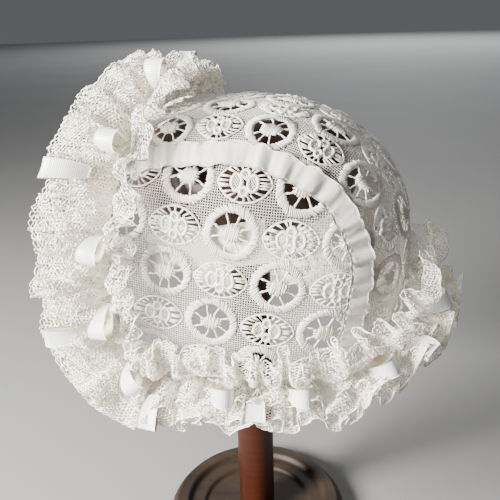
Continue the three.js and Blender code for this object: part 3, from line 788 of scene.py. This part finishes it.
def net_threads(starts, ends, normals, rng):
    """Flat threads of one open face each between pairs of points, each twisted its own way."""
    starts, ends = starts.reshape(-1, 3), ends.reshape(-1, 3)
    facing = normals.reshape(-1, 3) + rng.normal(0, NET_TWIST, starts.shape)
    side = unit(np.cross(ends - starts, facing)) * NET_HALF
    points = np.stack([starts - side, starts + side, ends + side, ends - side], axis=1).reshape(-1, 3)
    return points, np.arange(len(points)).reshape(-1, 4)


def net_layer(work, gathers, start, end, seed):
    """Six-sided net over a gathered layer, with a picot cord along its rim."""
    rng = np.random.default_rng(seed)
    stations = np.arange(start, end, 0.1)
    rim = gathers.place(stations, np.full(len(stations), 0.75))
    run = distances(rim)
    reach = Edge(stations).inner if gathers.inner else Edge(stations).reach
    width = float(reach.mean()) * gathers.short * BULGE
    rows = int(width / CELL_WIDE)
    columns = int(run[-1] / CELL_LONG)
    i, j = np.meshgrid(np.arange(columns), np.arange(rows + 1), indexing="ij")
    middle = (i + 0.5 * (j % 2)) * CELL_LONG
    nodes = []
    for side in (-1, 1):
        u = middle + side * CELL_BAR / 2 + rng.normal(0, 0.08, i.shape)
        v = (j + rng.normal(0, 0.08, i.shape)) / rows
        nodes.append(gathers.place(np.interp(u, run, stations), np.clip(v, 0.02, 1.0)))
    left, right = nodes
    normals = unit(np.cross(right - left, np.gradient((left + right) / 2, axis=1)))
    work.add(*net_threads(left, right, normals, rng))
    even, odd = slice(0, None, 2), slice(1, None, 2)
    for low, high in ((even, odd), (odd, even)):
        first_left, first_right = left[:, low], right[:, low]
        next_left, next_right = left[:, high], right[:, high]
        if low is odd:
            next_left, next_right = next_left[:, 1:], next_right[:, 1:]
        count = min(first_left.shape[1], next_left.shape[1])
        first_left, first_right = first_left[:, :count], first_right[:, :count]
        next_left, next_right = next_left[:, :count], next_right[:, :count]
        if low is even:
            pairs = ((first_right, next_left), (first_left[1:], next_right[:-1]))
        else:
            pairs = ((first_left, next_right), (first_right[:-1], next_left[1:]))
        for begin, finish in pairs:
            work.add(*net_threads(begin, finish, normals[:begin.shape[0], :begin.shape[1]], rng))
    picots = np.arange(0, run[-1], PICOT_STEP)
    scallop = 1.0 + 0.04 * np.abs(np.sin(math.pi * picots / PICOT_PITCH))
    cord = gathers.place(np.interp(picots, run, stations), scallop)
    work.add(*tube(cord, PICOT_THICK, 3))
    return run[-1], width


def ruche(name, node, start, end, seed, inner):
    """Four gathered layers and the thread that heads them, with the flat size of all the net."""
    work = Work()
    layers = [Gathers(seed + step, False, *form) for step, *form in OUTER_LAYERS]
    layers.append(Gathers(seed + 2, True, *INNER_FOLDS, inner))
    sizes = [net_layer(work, layer, start, end, seed + 10 + k) for k, layer in enumerate(layers)]
    heading = np.arange(start, end, 1.0)
    line = Edge(heading).point(np.zeros(len(heading))) + Edge(heading).normal * 0.3
    wobble = np.sin(heading * 2.1)[:, None] * 0.5
    work.add(*tube(line + Edge(heading).outward * wobble, 0.4, 5))
    piece = dress(name, np.concatenate(work.points), np.concatenate(work.faces), NET, node)
    length = sum(size[0] for size in sizes) / len(sizes) * MM
    width = sum(size[1] for size in sizes) * MM
    return piece, (width, length)


NETS = {
    "face": ruche("net_face", "face_ruche", -CORNER - NET_OVERLAP, CORNER + NET_OVERLAP, 20, 1.2),
    "neck": ruche("net_neck", "neck_ruche", CORNER - NET_OVERLAP, GIRTH - CORNER + NET_OVERLAP, 40, 1.6),
}


# Ribbons and tapes: closed strips with their cloth measured in millimetres for the weave

def strip_piece(name, node, places, widthways, widths, thickness, cup, material,
                extra=None, crease=None, shaded_inside=None):
    """Band along a path, bowed across its width by cup."""
    places, widths = np.asarray(places, float), np.broadcast_to(widths, len(places))
    cup = np.broadcast_to(cup, len(places))
    columns = 9
    across = np.linspace(-0.5, 0.5, columns)
    way = unit(np.gradient(places, axis=0))
    sideways = unit(np.broadcast_to(widthways, places.shape))
    face = unit(np.cross(way, sideways))
    middle = places[:, None] + sideways[:, None] * (across[:, None] * widths[:, None, None])
    middle = middle + face[:, None] * ((1 - 4 * across ** 2)[:, None] * cup[:, None, None])
    if crease is not None:
        left, right = crease
        lift = (0.5 - across) * left[:, None] + (0.5 + across) * right[:, None]
        middle = middle + face[:, None] * lift[:, :, None]
    edge = np.sqrt(np.maximum(1 - (2 * across) ** 6, 0.1))[:, None]
    half = face[:, None] * edge * thickness / 2
    points = np.concatenate([middle + half, middle - half])
    rows = len(places)
    grid = np.arange(rows * columns).reshape(rows, columns)
    outline = np.concatenate([grid[:, 0], grid[-1, 1:], grid[-2::-1, -1], grid[0, -2:0:-1]])
    after = np.roll(outline, -1)
    below = rows * columns
    top = grid_faces(rows, columns)
    rim = np.stack([outline, after, after + below, outline + below], axis=-1)
    faces = np.concatenate([top[:, ::-1], top + below, rim[:, ::-1]])
    run = distances(places)
    cloth = np.stack([run[:, None] + 0 * across, across * widths[:, None]], axis=-1).reshape(-1, 2)
    cloth = np.concatenate([cloth, cloth])
    points = points.reshape(-1, 3)
    if extra is not None:
        faces = np.concatenate([faces, extra[1] + len(points)])
        cloth = np.concatenate([cloth, np.zeros((len(extra[0]), 2))])
        points = np.concatenate([points, extra[0]])
    piece = dress(name, points, faces, material, node, cloth=cloth)
    # The faces turned towards the middle of a loop take the satin's painted shade copy
    if shaded_inside is not None:
        piece.data.materials.append(shaded_inside)
        inside = ((places.mean(axis=0) - places) * face).sum(axis=-1).mean() > 0
        first = 0 if inside else len(top)
        marks = np.zeros(len(piece.data.polygons), dtype=np.int32)
        marks[first:first + len(top)] = 1
        piece.data.polygons.foreach_set("material_index", marks)
    return piece


RIBBON_WALL = 0.4
LOOP_LENGTH, LOOP_SPREAD, LOOP_MOUTH, RIBBON_PINCH = 13, 8, 16, 0.3
NET_WALL, RIBBON_GAP, NEAR_FOOT = 1.5, 0.75, 0.4
# Ribbons by their share of the girth, the short loops with their lean in degrees
SHORT_LOOPS = [(0.03, 80), (0.08, 60), (0.14, 70), (0.19, 50), (0.24, 60), (0.31, 60), (0.36, 65),
               (0.41, 60), (0.465, 70)]
LONG_LOOPS = [0.11, 0.215, 0.28, 0.335, 0.435]


def station_at(share):
    station = share * GIRTH
    return station - GIRTH if station > GIRTH - CORNER else station


SEWN = {"face": [], "neck": []}


def sew(station, piece):
    SEWN["face" if abs(station) < CORNER else "neck"].append(piece)


def short_loop(name, node, share, lean, seed):
    rng = np.random.default_rng(seed)
    station = station_at(share)
    edge = Edge(np.array(station))
    root = edge.point(0.0)
    outer, inner = (unit(edge.point(across) - root) for across in (NEAR_FOOT, -NEAR_FOOT))
    between = unit(outer + inner)
    valley = math.acos(float(outer @ inner)) / 2
    root_half = RIBBON_WIDTH * RIBBON_PINCH / 2
    seat = (NET_WALL / 2 + RIBBON_GAP + root_half * math.cos(valley)) / math.sin(valley)
    widthways = unit(np.cross(edge.along, between))
    up = between * math.sin(math.radians(lean)) + edge.along * math.cos(math.radians(lean))
    spread = unit(np.cross(widthways, up))
    turns = np.radians(np.linspace(LOOP_MOUTH, 360 - LOOP_MOUTH, 45))[:, None]
    places = root + between * seat + up * LOOP_LENGTH * (1 - np.cos(turns)) / 2
    apart = LOOP_SPREAD / 2 * np.sin(turns) * np.sin(turns / 2) + 0.65 * np.cos(turns / 2)
    places = places - spread * apart
    skew = rng.uniform(-0.5, 0.5) * widthways * np.sin(turns / 2) ** 2
    widths = RIBBON_WIDTH * (RIBBON_PINCH + (1 - RIBBON_PINCH) * np.sin(turns[:, 0] / 2) ** 2.2)
    cup = 0.9 * np.cos(turns[:, 0] / 2) ** 2 * np.sign(np.cos(turns[:, 0] / 2)) + rng.uniform(-0.2, 0.2)
    sew(station, strip_piece(name, node, places + skew, widthways, widths, RIBBON_WALL, cup, SATIN,
                           shaded_inside=SHADED_SATIN))


def crest_near(station):
    tries = station + FOLD_PITCH * 0.6 * (np.arange(9) / 4 - 1)
    return tries[np.argmax(fold_wave(tries))]


def long_loop(name, node, share, seed):
    rng = np.random.default_rng(seed)
    station = crest_near(station_at(share))
    edge = Edge(np.array(station))
    over = edge.over
    lift = (NET_WALL + 1) / 2 + RIBBON_GAP
    foot, rim = (edge.point(across) + over * lift for across in (NEAR_FOOT, 1.0))
    tip = rim + unit(rim - foot) * 2
    way = unit(tip - foot)
    span = np.linalg.norm(tip - foot)
    there = np.linspace(0, 1, 16)[:, None]
    bow = over * (0.5 + 0.5 * rng.uniform())
    out = foot + way * (span - 1.2) * there - over * 0.55 + bow * np.sin(math.pi * there)
    turn = np.radians(np.linspace(-80, 80, 9))[:, None]
    bend = foot + way * (span - 1.2) + way * 1.1 * np.cos(turn) + over * 0.8 * np.sin(turn)
    again = there[::-1]
    back = foot + way * (span - 1.2) * again + over * (0.8 + 1.4 * np.sin(math.pi * again)) + bow * 0.5
    places = np.concatenate([out, bend, back])
    t = np.linspace(0, 1, len(places))
    widths = RIBBON_WIDTH * (0.45 + 0.55 * np.sin(math.pi * t) ** 0.5)
    sew(station, strip_piece(name, node, places, edge.along, widths, RIBBON_WALL, 0.35, SATIN,
                           shaded_inside=SHADED_SATIN))


for number, (share, lean) in enumerate(SHORT_LOOPS, 1):
    short_loop(f"satin_loop_near_{number}", f"ribbon_loop_near_{number}", share, lean, 60 + number)
    short_loop(f"satin_loop_far_{number}", f"ribbon_loop_far_{number}", 1 - share, lean, 80 + number)
for number, share in enumerate(LONG_LOOPS, 1):
    long_loop(f"satin_end_near_{number}", f"ribbon_end_near_{number}", share, 100 + number)
    long_loop(f"satin_end_far_{number}", f"ribbon_end_far_{number}", 1 - share, 120 + number)


# Seam tapes

TAPE_END, TAPE_LIFT = 6.0, 1.8
TAPE_SEWN, TAPE_STITCH = 3.4, 2.7


def seam_tape(name, node, side, seed):
    rng = np.random.default_rng(seed)
    angles = np.radians(np.linspace(200, -90, 291))
    points, lengths = meridian(angles)
    half = MERIDIAN_POINTS // 2 + 1
    reach = np.array([np.interp(HEAD_SIDE - SEAM_SIDE, HEAD_SIDE + curve[:half, 1], length[:half])
                      for curve, length in zip(points, lengths)])
    seam = np.stack([on_line(r, length, curve) for curve, length, r in zip(points, lengths, reach)])
    seam = seam * [1, -side, 1]
    keep = clear_of_edges(seam, -TAPE_END)
    seam = seam[keep]
    run = distances(seam)
    places = np.linspace(0, run[-1], 260)
    seam = on_line(places, run, seam)
    pucker, drift = wander(rng, 7), wander(rng, 30)
    normal = head_normals(seam)
    way = unit(np.gradient(seam, axis=0))
    sideways = unit(np.cross(normal, way))
    lifted = seam + normal * (TAPE_LIFT + 0.25 * pucker(places))[:, None]
    lifted = lifted + sideways * (0.2 * drift(places))[:, None]
    extra = Work()
    arch = (0.28 + 0.12 * np.sin(np.linspace(0, math.pi, 5)))[:, None]
    for offset in (-TAPE_SEWN, TAPE_SEWN):
        row = lifted + sideways * offset
        for spot in np.arange(1.5, places[-1] - 2, TAPE_STITCH):
            along = np.linspace(spot, spot + 1.5, 5)
            line, up = on_line(along, places, row), on_line(along, places, normal)
            extra.add(*tube(line + up * arch, 0.16, 4))
    widths = TAPE_WIDTH + 0.35 * wander(rng, 8)(places)
    crease = [0.22 * wander(rng, 12)(places) + 0.13 * wander(rng, 3.5)(places) for _ in range(2)]
    cup = 0.12 * wander(rng, 8)(places)
    sewing = (np.concatenate(extra.points), np.concatenate(extra.faces))
    return strip_piece(name, node, lifted, sideways, widths, 0.5, cup, TAPE, sewing, crease)


TAPES = [seam_tape("tape_near", "seam_tape_near", -1, 7), seam_tape("tape_far", "seam_tape_far", 1, 8)]


# Tie strip tucked up inside the near panel

def tie_strip():
    along = np.linspace(0, 1, 40)
    rng = np.random.default_rng(9)
    x = -24 + 40 * along
    z = 8 + 7 * (along - 0.5)
    middle = side_points(x, z, -1)
    normal = head_normals(middle)
    way = unit(np.gradient(middle, axis=0))
    sideways = unit(np.cross(normal, way))
    soft = wander(rng, 14)(40 * along)
    places = middle - normal * (1.4 + 0.12 * soft)[:, None]
    piece = strip_piece("tie_band", "tie_strip", places, sideways, 14.0, 0.5, 0.1 * soft, TIE)


tie_strip()


# Turned stand

def rounded(profile, radius):
    """Profile with each corner between two straight runs softened."""
    steps = 5
    profile = np.array(profile, float)
    line = [profile[0]]
    for before, corner, after in zip(profile[:-2], profile[1:-1], profile[2:]):
        reach = min(radius, np.linalg.norm(corner - before) * 0.45, np.linalg.norm(after - corner) * 0.45)
        begin = corner + unit(before - corner) * reach
        finish = corner + unit(after - corner) * reach
        for t in np.linspace(0, 1, steps):
            line.append((1 - t) ** 2 * begin + 2 * t * (1 - t) * corner + t ** 2 * finish)
    line.append(profile[-1])
    return np.array(line)


def turned(name, node, profile, material, slot):
    around = 2 * math.pi * np.arange(112) / 112
    radius, height = profile[:, 0], profile[:, 1]
    wobble = 1 + 0.0012 * np.sin(2 * around) + 0.0006 * np.sin(5 * around)
    points = np.stack([np.outer(radius, np.cos(around) * wobble),
                       np.outer(radius, np.sin(around) * wobble),
                       height[:, None] + 0 * around], axis=-1)
    faces = grid_faces(len(profile), len(around), close_columns=True)
    dress(name, points.reshape(-1, 3), faces[:, ::-1], material, node, origin=np.zeros(3))


BASE = [(0.01, 0), (39, 0), (41, 2), (41, 5), (38, 9), (33, 9), (31, 6.5), (25.5, 6.5), (24, 5), (0.01, 5)]
turned("turned_base", "stand_base", rounded(BASE, 1.2), PALE_WOOD, "pale_wood")
POST = [(0.01, 5.3), (8, 5.3), (8, 147.7), (0.01, 147.7)]
turned("turned_post", "stand_post", rounded(POST, 0.9), RED_WOOD, "red_wood")
DOME_NECK, DOME_RADIUS, DOME_BELLY, DOME_DROP, DOME_RISE = 10, 42, 167, 19, 25.8
DOME_ROUND = 2 / 2.2
under = np.radians(np.linspace(0, 82, 14))
over = np.radians(np.linspace(4, 90, 24))
low_dome = np.column_stack([
    DOME_NECK + (DOME_RADIUS - DOME_NECK) * np.sin(under),
    DOME_BELLY - DOME_DROP * np.cos(under)])
high_dome = np.column_stack([
    DOME_RADIUS * np.maximum(np.cos(over), 0.0005) ** DOME_ROUND,
    DOME_BELLY + DOME_RISE * np.sin(over) ** DOME_ROUND])
DOME = np.concatenate([
    [[0.01, DOME_BELLY - DOME_DROP]], low_dome, [[DOME_RADIUS, DOME_BELLY]], high_dome])
turned("turned_dome", "stand_dome", DOME, DARK_WOOD, "dark_wood")


# Floor and lights

def floor():
    material, nodes, links, shader = node_material("floor_paint", (0.25, 0.25, 0.245), 0.7)
    mottle = add_noise(nodes, links, 3, 4)
    greys = [(0.3, (0.24, 0.24, 0.235)), (0.7, (0.265, 0.265, 0.26))]
    add_ramp(nodes, links, mottle.outputs["Fac"], greys, shader.inputs["Base Color"])
    around = 2 * math.pi * np.arange(48) / 48
    ring = [np.column_stack([r * np.cos(around), r * np.sin(around), 0 * around]) for r in (1, 9000)]
    faces = grid_faces(2, 48, close_columns=True)[:, ::-1]
    make_object("floor", np.concatenate(ring), faces, material, origin=np.array([0, 0, -0.05]))


def area_light(name, place, aim, size, power, colour=(1, 1, 1)):
    data = bpy.data.lights.new(name, "AREA")
    data.shape = "DISK"
    data.size = size
    data.energy = power
    data.color = colour
    light = bpy.data.objects.new(name, data)
    light.location = place
    light.rotation_euler = (Vector(aim) - Vector(place)).to_track_quat("-Z", "Y").to_euler()
    bpy.context.scene.collection.objects.link(light)


floor()
world = bpy.data.worlds.new("room")
world.use_nodes = True
tune(world.node_tree.nodes["Background"], {"Color": (0.90, 0.93, 1.0, 1), "Strength": 0.12})
bpy.context.scene.world = world
area_light("window", (-0.40, -0.42, 0.34), (0, 0, 0.15), 0.26, 25, (1.0, 0.98, 0.95))
area_light("ceiling", (-0.2, -0.35, 0.9), (0, 0, 0.15), 0.5, 2.5)
area_light("far_room", (0, 5.5, 2.5), (0, 5.5, 0), 3, 200, (0.97, 0.98, 1.0))
